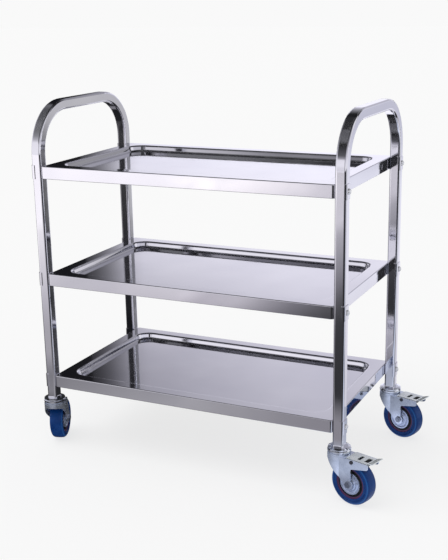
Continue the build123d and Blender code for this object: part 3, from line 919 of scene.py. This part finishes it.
@dataclass(frozen=True)
class FloorReflection(MirrorCard):
    """Floor before the cart as polished metal shows it: a painted reflection, with painted shade towards
    the camera.

    The pools multiply: painted shade on the floor by the cart, the patch, and the two spots of painted
    light that the front skirts show. The strip and the apron are the floor right by the cart, which the
    bottom shelf and the casters show; the apron carries painted shade, which the wheel pools darken by
    the front right wheel and lighten by the rear right wheel.
    """

    back: float = 0.3
    front: float = -8.5
    half: float = 8.5
    level: float = -0.0002
    # Painted shade by the cart, painted shade in the patch towards the camera, and two spots of painted
    # light.
    pools: tuple[Pool, ...] = (
        Pool((-0.45, -0.3), (4.0, 4.0), (
            (0.05, (0.5, 0.5, 0.5)), (0.21, (0.66, 0.66, 0.66)), (0.33, PLAIN))),
        Pool((0.1, -1.3), (2.2, 7.5), (
            (0.0, (0.055, 0.055, 0.06)), (0.08, (0.062, 0.062, 0.07)), (0.12, (0.12, 0.118, 0.13)),
            (0.164, (0.23, 0.222, 0.25)), (0.26, (0.41, 0.4, 0.44)), (0.323, (0.47, 0.455, 0.5)),
            (0.365, (0.77, 0.74, 0.8)), (0.58, (0.65, 0.63, 0.68)), (0.88, (0.97, 0.94, 0.98)),
            (0.95, (1.2, 1.16, 1.21)))),
        Pool((-1.33, -3.58), (0.6, 0.5), (
            (0.0, (1.42, 1.4, 1.38)), (0.55, (1.4, 1.38, 1.36)), (1.0, PLAIN))),
        Pool((-0.5, -1.46), (0.23, 0.3), (
            (0.0, (1.66, 1.63, 1.63)), (0.3, (1.5, 1.47, 1.47)), (1.0, PLAIN))),
    )
    far_from: Pair = (-4.5, -8.0)
    far: Colour = (0.88, 0.86, 0.93)
    strip_from: Pair = (-0.76, -0.6)
    strip_across: Pair = (-0.7, 0.4)
    # Darker floor right in front of the cart, as the metal shows it.
    strip: Rows = (
        (0.0, (0.235, 0.23, 0.25)), (0.45, (0.43, 0.42, 0.45)), (0.78, (0.29, 0.28, 0.31)))
    # Painted dark over the floor past these places along the cart, short of the apron.
    dark_from: Pair = (0.28, 0.42)
    apron_from: Pair = (-0.5, -0.4)
    apron_across: Pair = (0.0, 0.36)
    # Painted shade under the cart, darkest on the left.
    apron: Rows = ((0.0, (0.04, 0.04, 0.045)), (1.0, (0.74, 0.79, 0.95)))
    shade_from: Pair = (-0.3, 0.15)
    shade: float = 0.6
    # Painted shade by the front right wheel, painted light by the rear right wheel.
    wheel_pools: tuple[Pool, ...] = (
        Pool((0.315, -0.265), (0.085, 0.085), (
            (0.0, (0.4, 0.4, 0.43)), (0.6, (0.4, 0.4, 0.43)), (1.0, PLAIN))),
        Pool((0.315, 0.11), (0.085, 0.085), (
            (0.0, (2.0, 2.0, 2.04)), (0.6, (2.0, 2.0, 2.04)), (1.0, PLAIN))),
    )

    def build(self) -> None:
        """Makes the card."""
        bpy.ops.mesh.primitive_plane_add(size=1.0)
        card = bpy.context.object
        middle = Matrix.Translation((0, (self.back + self.front) / 2, self.level))
        card.data.transform(middle @ Matrix.Diagonal((2 * self.half, self.back - self.front, 1, 1)))
        sheet = self.sheet()
        at = sheet.add("ShaderNodeSeparateXYZ")
        sheet.link(sheet.place(), at.inputs["Vector"])
        x, y = at.outputs["X"], at.outputs["Y"]
        first, *others = self.pools
        glow = first.ramp(sheet)
        for pool in others:
            glow = sheet.times(glow, pool.ramp(sheet))
        glow = sheet.over(glow, sheet.spread(y, 0, 1, *self.far_from), self.far)
        strip = sheet.blend(sheet.spread(x, 0, 1, *self.strip_across), self.strip)
        glow = sheet.over(glow, sheet.spread(y, 0, 1, *self.strip_from), strip)
        glow = sheet.over(glow, sheet.spread(x, 0, 1, *self.dark_from), GAP)
        glow = sheet.over(glow, sheet.spread(y, 0, 1, *self.apron_from), self.shaded_apron(sheet, x, y))
        sheet.feed("Emission Color", glow)
        self.hang(card, sheet)

    def shaded_apron(self, sheet: NodeSheet, x: Socket, y: Socket) -> Socket:
        """The floor under the cart, with painted shade that deepens towards the back.

        Args:
            sheet: Material to add the nodes to.
            x: Place along the cart.
            y: Place from front to back.

        Returns:
            The colour socket.
        """
        apron = sheet.blend(sheet.spread(x, 0, 1, *self.apron_across), self.apron)
        shade = sheet.add("ShaderNodeVectorMath", operation="SCALE")
        sheet.link(apron, shade.inputs[0])
        sheet.link(sheet.spread(y, 1, self.shade, *self.shade_from), shade.inputs["Scale"])
        glow = shade.outputs["Vector"]
        for pool in self.wheel_pools:
            glow = sheet.times(glow, pool.ramp(sheet))
        return glow


@dataclass(frozen=True)
class SideCard(MirrorCard):
    """Upright card beside the cart, which only the legs and trays show: a painted reflection.

    Its cover says how much it hides at each share of the way from its front edge to its back edge.
    """

    at_x: float
    reach_y: Pair
    reach_z: Pair
    glow: Colour
    cover: tuple[Pair, ...]

    def build(self) -> None:
        """Makes the card."""
        bpy.ops.mesh.primitive_plane_add(size=1.0)
        card = bpy.context.object
        (front, back), (low, high) = self.reach_y, self.reach_z
        turn = Matrix.Rotation(math.radians(90), 4, "Y")
        middle = Matrix.Translation((self.at_x, (front + back) / 2, (low + high) / 2))
        card.data.transform(middle @ turn @ Matrix.Diagonal((high - low, back - front, 1, 1)))
        sheet = self.sheet()
        sheet.fix("Emission Color", (*self.glow, 1.0))
        across = sheet.add("ShaderNodeSeparateXYZ")
        sheet.link(sheet.place(), across.inputs["Vector"])
        share = sheet.spread(across.outputs["Y"], 0, 1, front, back)
        sheet.feed("Alpha", sheet.blend(share, ((at, (cover, cover, cover)) for at, cover in self.cover)))
        self.hang(card, sheet)


# Painted dark reflection beside the left legs, which darkens their faces in the metal.
DARK_REFLECTION_CARD = SideCard(
    "dark_reflection_card", at_x=-0.45, reach_y=(-0.065, 0.33), reach_z=(-0.02, 1.22), glow=(0.01, 0.01, 0.012),
    cover=((0.0, 0.0), (0.025, 0.97), (0.367, 0.97), (0.405, 0.77), (0.524, 0.65), (0.62, 0.53),
           (0.729, 0.36), (0.838, 0.2), (1.0, 0.0)))
# Painted bright reflection to the right of the cart, which the metal and the tyres show.
WHITE_REFLECTION_CARD = SideCard(
    "white_reflection_card", at_x=1.25, reach_y=(0.18, 1.02), reach_z=(-0.05, 1.55), glow=(0.95, 0.94, 1.0),
    cover=((0.0, 0.0), (0.095, 0.97), (0.905, 0.97), (1.0, 0.0)))


@dataclass
class Studio:
    """White studio: floor, soft light, the painted reflection of the room that metal shows, and the
    camera.
    """

    camera_at: tuple[float, float, float] = (1.0241, -2.1406, 1.0636)
    yaw: float = 0.4484
    pitch: float = 0.2699
    roll: float = -0.0199
    focal_px: float = 1032.05
    frame_px: tuple[int, int] = (448, 560)
    sensor_mm: float = 36.0
    backdrop: float = 0.947
    fill: float = 0.65
    sun: float = 1.25
    sun_width: float = 50.0
    sun_aim: tuple[float, float, float] = (0.35, 0.3, -1)
    floor_size: float = 60.0
    floor_level: float = -0.0004
    floor_grey: Colour = (0.2, 0.2, 0.2)
    floor_glow: float = 0.75

    def build(self) -> None:
        """Makes the whole stage."""
        self.world()
        self.floor()
        self.light()
        for card in (RoomReflection("room_reflection"), FloorReflection("floor_reflection"), DARK_REFLECTION_CARD, WHITE_REFLECTION_CARD):
            card.build()
        self.camera()
        bpy.context.scene.view_settings.view_transform = "Standard"

    def world(self) -> None:
        """White world for the camera, with a plain level of fill for the rest."""
        world = bpy.data.worlds.new("studio_white")
        bpy.context.scene.world = world
        world.use_nodes = True
        nodes, links = world.node_tree.nodes, world.node_tree.links
        back = nodes["Background"]
        back.inputs["Color"].default_value = (1, 1, 1, 1)
        path = nodes.new("ShaderNodeLightPath")
        seen = path.outputs["Is Camera Ray"]
        for kind in ("Is Glossy Ray", "Is Transmission Ray"):
            either = nodes.new("ShaderNodeMath")
            either.operation = "MAXIMUM"
            links.new(seen, either.inputs[0])
            links.new(path.outputs[kind], either.inputs[1])
            seen = either.outputs["Value"]
        level = nodes.new("ShaderNodeMapRange")
        level.inputs["To Min"].default_value = self.fill
        level.inputs["To Max"].default_value = self.backdrop
        links.new(seen, level.inputs["Value"])
        links.new(level.outputs["Result"], back.inputs["Strength"])

    def floor(self) -> None:
        """Pale floor that stays white and keeps the cart's shadow."""
        bpy.ops.mesh.primitive_plane_add(size=self.floor_size)
        floor = bpy.context.object
        floor.name = "studio_floor"
        floor.data.transform(Matrix.Translation((0, 0, self.floor_level)))
        sheet = NodeSheet("floor_white")
        sheet.fix("Base Color", (*self.floor_grey, 1.0))
        sheet.fix("Roughness", 1.0)
        sheet.fix("Specular IOR Level", 0.0)
        sheet.fix("Emission Color", (1, 1, 1, 1))
        sheet.fix("Emission Strength", self.floor_glow)
        floor.data.materials.append(sheet.material)
        floor.visible_glossy = False

    def light(self) -> None:
        """One broad, soft light from above the camera's left."""
        lamp = bpy.data.lights.new("soft_sun", "SUN")
        lamp.energy = self.sun
        lamp.angle = math.radians(self.sun_width)
        holder = bpy.data.objects.new("soft_sun", lamp)
        holder.rotation_euler = Vector(self.sun_aim).to_track_quat("-Z", "Y").to_euler()
        bpy.context.scene.collection.objects.link(holder)

    def camera(self) -> None:
        """Camera at the photograph's place and angle."""
        lens = bpy.data.cameras.new("photo_camera")
        lens.sensor_width = self.sensor_mm
        lens.lens = self.focal_px * self.sensor_mm / max(self.frame_px)
        camera = bpy.data.objects.new("photo_camera", lens)
        flat = math.cos(self.pitch)
        forward = Vector((-math.sin(self.yaw) * flat, math.cos(self.yaw) * flat, -math.sin(self.pitch)))
        level = Vector((math.cos(self.yaw), math.sin(self.yaw), 0))
        upright = level.cross(forward)
        right = math.cos(self.roll) * level + math.sin(self.roll) * upright
        up = math.cos(self.roll) * upright - math.sin(self.roll) * level
        pose = Matrix((right, up, -forward)).transposed().to_4x4()
        pose.translation = self.camera_at
        camera.matrix_world = pose
        bpy.context.scene.collection.objects.link(camera)
        bpy.context.scene.camera = camera


def wheel_spot(joints: list[dict[str, Any]], corner: Corner) -> WheelSpot:
    """Finds a wheel's axle from the frame's joints.

    Args:
        joints: The frame's joints.
        corner: Caster to look up.

    Returns:
        The wheel's centre and axle direction.
    """
    joint = next(j for j in joints if j["name"] == corner.value + "_wheel_roll")
    return WheelSpot(Vector(joint["pos_m"]), Vector(joint["axis"]).normalized())


def main() -> None:
    """Loads the frame, dresses the cart and builds the studio."""
    logging.basicConfig(level=logging.INFO, format="%(message)s")
    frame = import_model()
    dresser = Dresser(frame["nodes"])
    CartFrame().dress(dresser)
    for corner in Corner:
        Caster(corner, wheel_spot(frame["joints"], corner)).dress(dresser)
    Studio().build()


if __name__ == "__main__":
    main()
